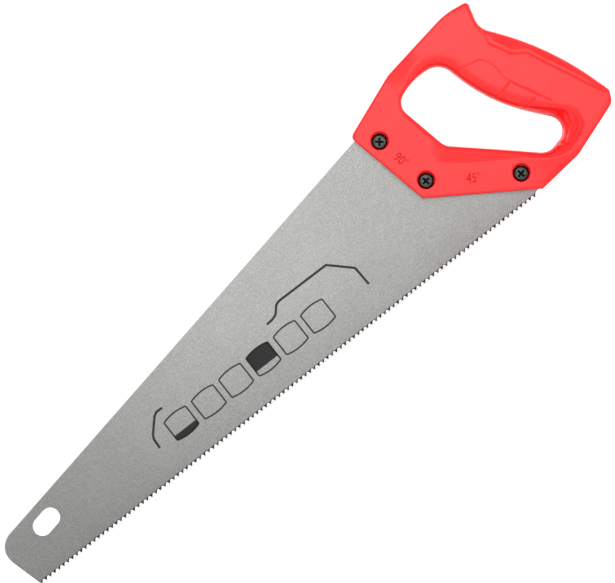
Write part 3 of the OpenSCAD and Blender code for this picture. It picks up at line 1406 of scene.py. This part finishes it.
    def build(
        self,
        plastic: bpy.types.Material,
        matt_painted_shade: bpy.types.Material,
        blade: "Blade",
        marks: Sequence["AngleMark"],
    ) -> None:
        """Makes the handle.

        Args:
            plastic: Its finish.
            matt_painted_shade: Finish inside the numbers.
            blade: The blade whose heel it holds.
            marks: The numbers sunk into its cheeks.
        """
        obj = self.shell()
        cutters = [blade.slot_cutter()]
        for place in Place:
            cutters += [self.screw_room(screw_centre(place), side) for side in Side]
        for mark in marks:
            cutters += [mark.cutter(self, side) for side in Side]
        cut(obj, cutters)
        soften(obj, sharp=44)
        obj.data.materials.clear()
        obj.data.materials.append(plastic)
        obj.data.materials.append(matt_painted_shade)
        # Faces inside the numbers take the rougher red, darkened with painted shade.
        centres = np.empty(3 * len(obj.data.polygons))
        obj.data.polygons.foreach_get("center", centres)
        centres = centres.reshape(-1, 3) / MM
        sunk = np.zeros(len(centres), bool)
        for mark in marks:
            sunk |= mark.holds(self, centres)
        obj.data.polygons.foreach_set("material_index", sunk.astype(np.int32))
        hand_over(obj, plastic, "handle")


# ---------------------------------------------------------------- fasteners


def screw_centre(place: Place) -> Point:
    """X and Z of a screw, from the CAD screw's box."""
    low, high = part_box(f"screw_{place.value}")
    return ((low.x + high.x) / 2 / MM, (low.z + high.z) / 2 / MM)


@dataclass
class Fastener:
    """A pan head screw with a cross recess and the sleeve nut it is driven into."""

    place: Place
    turn: float
    head_r: float = 5.2
    head_h: float = 2.4
    flat_r: float = 4.1
    shank_r: float = 2.5
    length: float = 12.0
    pitch: float = 0.8
    thread: float = 0.4
    recess_l: float = 5.6
    recess_w: float = 1.5
    recess_depth: float = 2.0
    sleeve_r: float = 3.5
    bore_r: float = 2.6
    sleeve_past: float = 3.0
    flange_t: float = 2.6
    end_wall: float = 0.8
    key_w: float = 1.2
    key_depth: float = 1.1

    def __post_init__(self) -> None:
        """Takes the screw's place and seat from the CAD boxes."""
        self.centre = screw_centre(self.place)
        self.seat = -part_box(f"screw_{self.place.value}")[0].y / MM - self.head_h

    def cross(self) -> bpy.types.Object:
        """Makes the cutter of the cross recess, with four tapered wings.

        Returns:
            The cutter.
        """
        half_l, half_w, top = self.recess_l / 2, self.recess_w / 2, self.seat + self.head_h
        plus = [
            (half_l, half_w), (half_w, half_w), (half_w, half_l), (-half_w, half_l),
            (-half_w, half_w), (-half_l, half_w), (-half_l, -half_w), (-half_w, -half_w),
            (-half_w, -half_l), (half_w, -half_l), (half_w, -half_w), (half_l, -half_w),
        ]
        c, s = math.cos(math.radians(self.turn)), math.sin(math.radians(self.turn))
        points = []
        above, tip_taper, kept_share = (-1.0, 1.1), 0.75, 0.6
        for depth, taper in (above, (0.0, 1.0), (self.recess_depth, tip_taper)):
            wing = taper * (1 - kept_share) + kept_share
            for x, z in plus:
                x, z = x * taper, z * (wing if abs(z) < half_l else taper)
                points.append(
                    (
                        self.centre[0] + c * x - s * z,
                        -(top - depth),
                        self.centre[1] + s * x + c * z,
                    )
                )
        n = len(plus)
        faces = [list(range(n)), list(range(3 * n - 1, 2 * n - 1, -1))]
        for level in (0, n):
            faces += [
                [level + k, level + k + n, level + (k + 1) % n + n, level + (k + 1) % n]
                for k in range(n)
            ]
        return solid("cross_recess", points, faces, clean=True)

    def screw(self, black: bpy.types.Material, recess: bpy.types.Material) -> None:
        """Makes the screw with its thread.

        Args:
            black: Finish of the screw.
            recess: Finish of its driver recess: rougher, and near-black with painted shade.
        """
        seat, top = self.seat, self.seat + self.head_h
        reach = self.head_r - self.flat_r
        crown = ((0.0, 0.0), (0.5, 0.05), (0.85, 0.16), (1.0, 0.3))
        flank = ((0.4, 0.75), (0.8, 1.4))
        edge, fillet, thread_from, unthreaded, tip_taper = 0.25, 0.35, 0.6, 1.4, 0.6
        profile: list[Point] = [(self.flat_r * share, top - fall) for share, fall in crown]
        profile += [(self.flat_r + reach * share, top - fall) for share, fall in flank]
        profile += [(self.head_r, seat + edge), (self.head_r - edge, seat)]
        profile += [(self.shank_r + fillet, seat), (self.shank_r, seat - fillet)]
        start = seat - thread_from
        depths = (0.0, self.thread / 2, self.thread, self.thread / 2)
        steps = int((self.length - unthreaded) / self.pitch * len(depths))
        for k in range(steps + 1):
            depth = depths[k % len(depths)]
            profile.append((self.shank_r - depth, start - k * self.pitch / len(depths)))
        profile += [(self.shank_r - tip_taper, seat - self.length), (0.0, seat - self.length)]
        obj = turned(f"screw_{self.place.value}_black", profile, self.centre, Side.FRONT)
        cut(obj, [self.cross()])
        soften(obj, sharp=35)
        obj.data.materials.clear()
        obj.data.materials.append(black)
        obj.data.materials.append(recess)
        # Faces in the driver recess take the near-black finish of painted shade.
        recess_reach, skin = self.recess_l * 0.58, 0.25
        for polygon in obj.data.polygons:
            x, y, z = (c / MM for c in polygon.center)
            away = math.hypot(x - self.centre[0], z - self.centre[1])
            if away < recess_reach and seat < -y < top - skin:
                polygon.material_index = 1
        hand_over(obj, black, f"screw_{self.place.value}")

    def nut(self, black: bpy.types.Material) -> None:
        """Makes the sleeve nut with its driver slot.

        Args:
            black: Its finish.
        """
        seat, top, edge = self.seat, self.seat + self.flange_t, 0.8
        bottom, lead, chamfer, steps = self.seat - self.end_wall, 0.4, 0.2, 5
        profile: list[Point] = [
            (0.0, bottom), (self.bore_r, bottom), (self.bore_r, lead - self.sleeve_past),
            (self.bore_r + lead, -self.sleeve_past), (self.sleeve_r - chamfer, -self.sleeve_past),
            (self.sleeve_r, chamfer - self.sleeve_past), (self.sleeve_r, seat),
            (self.head_r - chamfer, seat), (self.head_r, seat + chamfer),
        ]
        for k in range(steps + 1):
            turn = math.radians(90 / steps * k)
            profile.append(
                (
                    self.head_r - edge + edge * math.cos(turn),
                    top - edge + edge * math.sin(turn),
                )
            )
        profile.append((0.0, top))
        obj = turned(f"nut_{self.place.value}_black", profile, self.centre, Side.BACK)
        half_w, half_l = self.key_w / 2, self.head_r + 0.5
        c, s = math.cos(math.radians(self.turn)), math.sin(math.radians(self.turn))
        corners = np.array(
            [(-half_w, -half_l), (half_w, -half_l), (half_w, half_l), (-half_w, half_l)]
        )
        key = np.array(self.centre) + corners @ np.array([[c, s], [-s, c]])
        cut(obj, [prism("key", key, top - self.key_depth, top + 1)])
        soften(obj, sharp=35)
        hand_over(obj, black, f"nut_{self.place.value}")


# ---------------------------------------------------------------- marks and print


@dataclass
class AngleMark:
    """An angle number sunk into both cheeks, beside the edge that sets that angle."""

    text: str
    at: Point
    reading: np.ndarray
    upward: np.ndarray
    height: float = 6.2
    narrow: float = 0.82
    depth: float = 0.9
    skin: float = 0.1
    half_room: Point = (7.5, 4.5)
    type_size: float = 1.38

    def holds(self, handle: Handle, centres: np.ndarray) -> np.ndarray:
        """Tells which faces of the handle belong to the number.

        Args:
            handle: The handle that carries it.
            centres: Middles of the handle's faces.

        Returns:
            True for each face inside the number.
        """
        off = centres[:, [0, 2]] - handle.heel() - np.array(self.at)
        away = np.abs(centres[:, 1])
        sunk = (away > handle.cheek - self.depth - self.skin) & (away < handle.cheek - self.skin)
        beside, over = self.half_room
        return sunk & (np.abs(off @ self.reading) < beside) & (np.abs(off @ self.upward) < over)

    def cutter(self, handle: Handle, side: Side) -> bpy.types.Object:
        """Solid of the number at one cheek.

        Args:
            handle: The handle that carries it.
            side: The cheek.

        Returns:
            The cutter.
        """
        above = 0.6
        curve = bpy.data.curves.new("angle_mark", "FONT")
        curve.body = self.text
        curve.size = self.height * self.type_size * MM
        curve.align_x, curve.align_y = "CENTER", "CENTER"
        curve.extrude = (self.depth + above) / 2 * MM
        curve.resolution_u = 4
        text = bpy.data.objects.new("angle_mark", curve)
        bpy.context.scene.collection.objects.link(text)
        bpy.context.view_layer.update()
        graph = bpy.context.evaluated_depsgraph_get()
        mesh = bpy.data.meshes.new_from_object(text.evaluated_get(graph))
        bpy.data.objects.remove(text)
        heel = handle.heel()
        reading = -side.value * self.narrow * self.reading
        level = side.value * (handle.cheek + (above - self.depth) / 2)
        mesh.transform(
            Matrix(
                (
                    (reading[0], self.upward[0], 0, (heel[0] + self.at[0]) * MM),
                    (0, 0, side.value, level * MM),
                    (reading[1], self.upward[1], 0, (heel[1] + self.at[1]) * MM),
                    (0, 0, 0, 1),
                )
            )
        )
        bm = bmesh.new()
        bm.from_mesh(mesh)
        bmesh.ops.remove_doubles(bm, verts=bm.verts, dist=SAME_PLACE)
        bmesh.ops.recalc_face_normals(bm, faces=bm.faces)
        bm.to_mesh(mesh)
        bm.free()
        obj = bpy.data.objects.new("angle_mark", mesh)
        bpy.context.scene.collection.objects.link(obj)
        return obj


@dataclass
class BladePrint:
    """Bracket line and six plain badge frames printed on the front of the blade.

    Points are in the blade's own frame.
    """

    blade: Blade
    ink_t: float = 0.03
    line_w: float = 1.5
    frame_w: float = 1.0
    sunk: float = 0.01
    bend_r: float = 1.6
    badges: int = 6
    badge_pitch: float = 22.1
    first_badge: Point = (133.2, 25.7)
    badge_half: Point = (8.7, 7.0)
    badge_arch: float = 1.3
    badge_corner_r: float = 0.8
    low_panel: int = 0
    high_panel: int = 3
    panel_below: float = 3.8
    panel_scale: float = 0.985
    left: tuple[Point, ...] = (
        (129.6, 41.1), (124.8, 41.2), (122.5, 39.9), (114.5, 31.3), (113.1, 28.7), (112.6, 21.7),
    )
    right: tuple[Point, ...] = (
        (214.7, 41.6), (219.5, 41.9), (222.8, 43.0), (227.1, 47.7), (229.8, 48.7),
        (267.8, 48.2), (281.2, 35.3), (281.8, 21.8),
    )

    def ribbon(self, name: str, centre: Path, width: float, closed: bool) -> bpy.types.Object:
        """Thin printed line.

        Args:
            name: Name of the piece.
            centre: Middle line, in the blade's own frame.
            width: Width of the line.
            closed: Whether the line closes.

        Returns:
            The piece.
        """
        p = self.blade.placed(centre)
        ahead = np.roll(p, -1, axis=0) - p
        behind = p - np.roll(p, 1, axis=0)
        if not closed:
            ahead[-1], behind[0] = behind[-1], ahead[0]
        ahead = ahead / np.linalg.norm(ahead, axis=1)[:, None]
        behind = behind / np.linalg.norm(behind, axis=1)[:, None]
        middle = ahead + behind
        middle = middle / np.linalg.norm(middle, axis=1)[:, None]
        miter = width / 2 / np.maximum((middle * ahead).sum(1), 0.5)
        off = np.stack([-middle[:, 1], middle[:, 0]], axis=1) * miter[:, None]
        surface = -self.blade.thickness / 2
        levels = (surface - self.ink_t, surface + self.sunk)
        sides = np.concatenate([p + off, p - off]).tolist()
        points = [(x, y, z) for y in levels for x, z in sides]
        n = len(p)
        faces = []
        for k in range(n if closed else n - 1):
            j = (k + 1) % n
            faces += [
                [k, j, j + n, k + n],
                [k + 2 * n, k + 3 * n, j + 3 * n, j + 2 * n],
                [k, k + 2 * n, j + 2 * n, j],
                [k + n, j + n, j + 3 * n, k + 3 * n],
            ]
        if not closed:
            faces += [[0, n, 3 * n, 2 * n], [n - 1, 3 * n - 1, 4 * n - 1, 2 * n - 1]]
        return solid(name, points, faces, clean=True)

    def badge(self, middle: np.ndarray) -> Path:
        """Outline of a badge, with straight sides and arched ends.

        Args:
            middle: Middle of the badge.

        Returns:
            Points of the outline.
        """
        half_w, half_h = self.badge_half
        steps, slight_r = 12, 0.02
        ends = (0, steps, steps + 1, 2 * steps + 1)
        points = []
        for sign in (1, -1):
            for k in range(steps + 1):
                t = 1 - 2 * k / steps
                rise = half_h + self.badge_arch * (1 - t * t)
                points.append((sign * half_w * t, sign * rise))
        corners = [
            (*p, self.badge_corner_r if k in ends else slight_r)
            for k, p in enumerate(np.array(points))
        ]
        return middle + rounded_path(corners, 1.0)

    def build(self, ink: bpy.types.Material) -> None:
        """Prints the lines and the badges.

        Args:
            ink: Finish of the print.
        """
        for name, line in (("bracket_left", self.left), ("bracket_right", self.right)):
            path = np.array(line)
            arcs = [path[:1]]
            for k in range(1, len(path) - 1):
                arcs.append(corner_arc(path[k - 1], path[k], path[k + 1], self.bend_r, 0.5))
            arcs.append(path[-1:])
            obj = self.ribbon(f"print_{name}", np.concatenate(arcs), self.line_w, False)
            hand_over(obj, ink)
        for k in range(self.badges):
            middle = np.array(self.first_badge) + [self.badge_pitch * k, 0]
            outline = self.badge(middle)
            obj = self.ribbon(f"print_badge_{k + 1}", outline, self.frame_w, True)
            hand_over(obj, ink)
            if k in (self.low_panel, self.high_panel):
                low = k == self.low_panel
                self.fill(f"print_badge_{k + 1}_panel", outline, middle, low, ink)

    def fill(
        self, name: str, outline: Path, middle: np.ndarray, low: bool, ink: bpy.types.Material
    ) -> None:
        """Prints the plain solid part of a badge.

        Args:
            name: Name of the piece.
            outline: The badge's outline.
            middle: Middle of the badge.
            low: Whether it fills the foot of the badge, or its upper part.
            ink: Its finish.
        """
        level = middle[1] - self.panel_below
        keep = outline[:, 1] < level if low else outline[:, 1] > level
        inner = middle + (outline - middle) * self.panel_scale
        kept = [tuple(p) for p, k in zip(inner, keep) if k]
        ends = sorted(kept, key=lambda p: abs(p[1] - level))[:2]
        hub = level - 2 if low else level + 4
        path = sorted(
            kept + [(e[0], level) for e in ends],
            key=lambda p: math.atan2(p[1] - hub, p[0] - middle[0]),
        )
        surface = -self.blade.thickness / 2
        placed = self.blade.placed(np.array(path))
        obj = prism(name, placed, surface - self.ink_t, surface + self.sunk)
        hand_over(obj, ink)


# ---------------------------------------------------------------- studio


@dataclass(frozen=True)
class Lamp:
    """A square area lamp: its place and side in metres, its power in watts."""

    name: str
    at: tuple[float, float, float]
    size: float
    power: float
    mirrored: bool = True


@dataclass
class Studio:
    """Camera, soft lamps, pale floor and white surroundings.

    The key and back lamps give the shading. The three others stand in front of the saw and
    give the parts they are named for their sheen.
    """

    roll: float = 38.104
    centre: tuple[float, float] = (0.01225, 0.04219)
    distance: float = 10.0
    frame_width: float = 0.3917
    sensor: float = 36.0
    world_strength: float = 0.4
    bare_reach: float = 0.35
    white_reach: float = 1.1
    bare_glow: float = 0.25
    lamps: tuple[Lamp, ...] = (
        Lamp("lamp_key", (0.8, -1.5, 1.1), 0.8, 32, mirrored=False),
        Lamp("lamp_blade", (-0.015, -1.05, 0.073), 0.18, 0.33),
        Lamp("lamp_grip", (0.27, -1.05, 0.06), 0.2, 0.36),
        Lamp("lamp_horn", (0.2, -1.05, 0.36), 0.25, 0.8),
        Lamp("lamp_back", (-0.6, 1.7, 1.3), 1.2, 9),
    )

    def camera(self) -> None:
        """Sets the camera square to the blade, rolled so that the saw rises to the right."""
        data = bpy.data.cameras.new("camera")
        data.sensor_width = self.sensor
        data.lens = self.sensor * self.distance / self.frame_width
        data.clip_start, data.clip_end = 0.05, 50.0
        camera = bpy.data.objects.new("camera", data)
        c, s = math.cos(math.radians(self.roll)), math.sin(math.radians(self.roll))
        x, z = self.centre
        camera.matrix_world = Matrix(
            ((c, s, 0, x), (0, 0, -1, -self.distance), (-s, c, 0, z), (0, 0, 0, 1))
        )
        bpy.context.scene.collection.objects.link(camera)
        bpy.context.scene.camera = camera

    def hang(self, lamp: Lamp) -> None:
        """Adds a lamp that faces the middle of the saw.

        Args:
            lamp: What is added.
        """
        data = bpy.data.lights.new(lamp.name, "AREA")
        data.shape, data.size, data.energy = "SQUARE", lamp.size, lamp.power
        obj = bpy.data.objects.new(lamp.name, data)
        obj.location = lamp.at
        aim = Vector((self.centre[0], 0.0, self.centre[1])) - Vector(lamp.at)
        obj.rotation_mode = "QUATERNION"
        obj.rotation_quaternion = aim.to_track_quat("-Z", "Y")
        obj.visible_camera = False
        obj.visible_glossy = lamp.mirrored
        bpy.context.scene.collection.objects.link(obj)

    @staticmethod
    def seen(tree: bpy.types.NodeTree) -> bpy.types.NodeSocket:
        """Tells what the camera sees, straight, mirrored or through glass.

        Args:
            tree: The node tree that asks.

        Returns:
            A socket that is 1 for those rays and else 0.
        """
        rays = add(tree, "ShaderNodeLightPath").outputs
        straight = {0: rays["Is Camera Ray"], 1: rays["Is Glossy Ray"]}
        mirrored = add(tree, "ShaderNodeMath", straight, operation="MAXIMUM").outputs[0]
        through = {0: mirrored, 1: rays["Is Transmission Ray"]}
        return add(tree, "ShaderNodeMath", through, operation="MAXIMUM").outputs[0]

    def world(self) -> None:
        """White surroundings for the camera and reflections, a plain level of light elsewhere."""
        world = bpy.data.worlds.new("studio")
        world.use_nodes = True
        tree = world.node_tree
        tree.nodes.clear()
        strength = add(
            tree,
            "ShaderNodeMapRange",
            {"Value": self.seen(tree), "To Min": self.world_strength, "To Max": 1.0},
        )
        back = add(
            tree,
            "ShaderNodeBackground",
            {"Color": linear("#FFFFFF"), "Strength": strength.outputs["Result"]},
        )
        add(tree, "ShaderNodeOutputWorld", {"Surface": back.outputs["Background"]})
        bpy.context.scene.world = world

    def floor(self) -> None:
        """Lays the pale paper floor. It is bare paper round the saw, and white further off."""
        size = 20000
        obj = solid(
            "studio_floor",
            [(-size, -size, 0), (size, -size, 0), (size, size, 0), (-size, size, 0)],
            [(0, 1, 2, 3)],
        )
        material, tree, place = new_finish("studio_paper")
        away = add(tree, "ShaderNodeVectorMath", {0: place}, operation="LENGTH")
        white = add(
            tree,
            "ShaderNodeMapRange",
            {
                "Value": away.outputs["Value"],
                "From Min": self.bare_reach,
                "From Max": self.white_reach,
                "To Min": self.bare_glow,
                "To Max": 1.0,
            },
        )
        glow_inputs = {0: white.outputs["Result"], 1: self.seen(tree)}
        glow = add(tree, "ShaderNodeMath", glow_inputs, operation="MULTIPLY")
        paper = add(
            tree,
            "ShaderNodeBsdfPrincipled",
            {
                "Base Color": linear("#FAFAFA"),
                "Roughness": 0.9,
                "Emission Color": linear("#FFFFFF"),
                "Emission Strength": glow.outputs[0],
            },
        )
        add(tree, "ShaderNodeOutputMaterial", {"Surface": paper.outputs["BSDF"]})
        obj.data.materials.append(material)

    def build(self) -> None:
        """Sets up the camera, the lamps, the surroundings and the floor."""
        bpy.context.scene.view_settings.view_transform = "Standard"
        self.camera()
        self.world()
        self.floor()
        for lamp in self.lamps:
            self.hang(lamp)


# ---------------------------------------------------------------- the saw


def main() -> None:
    """Builds the studio and the saw."""
    logging.basicConfig(level=logging.INFO, format="%(name)s: %(message)s")
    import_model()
    Studio().build()

    plastic = MouldedPolypropylene().build()
    # Finish inside the sunk numbers: rougher, and darker with painted shade.
    matt_painted_shade = MATT_PAINTED_SHADE_POLYPROPYLENE.build()
    steel = GroundSpringSteel().build()
    ground, ink = TOOTH_STEEL.build(), SCREEN_INK.build()
    # The recess finish is rougher and near-black with painted shade.
    black, recess = BLACK_OXIDE.build(), PUNCHED_OXIDE_PAINTED_SHADE.build()

    handle = Handle()
    blade = Blade(handle=handle)
    blade.build(steel, ground)
    marks = (
        AngleMark("90°", (-59.5, 69.9), -blade.front_dir, blade.front_in),
        AngleMark("45°", (-30.3, 32.3), blade.lower_dir, blade.lower_in),
    )
    handle.build(plastic, matt_painted_shade, blade, marks)
    for place, turn in ((Place.UPPER, 51.9), (Place.FRONT, 6.9), (Place.REAR, 12.0)):
        fastener = Fastener(place, turn)
        fastener.screw(black, recess)
        fastener.nut(black)
    BladePrint(blade).build(ink)


if __name__ == "__main__":
    main()
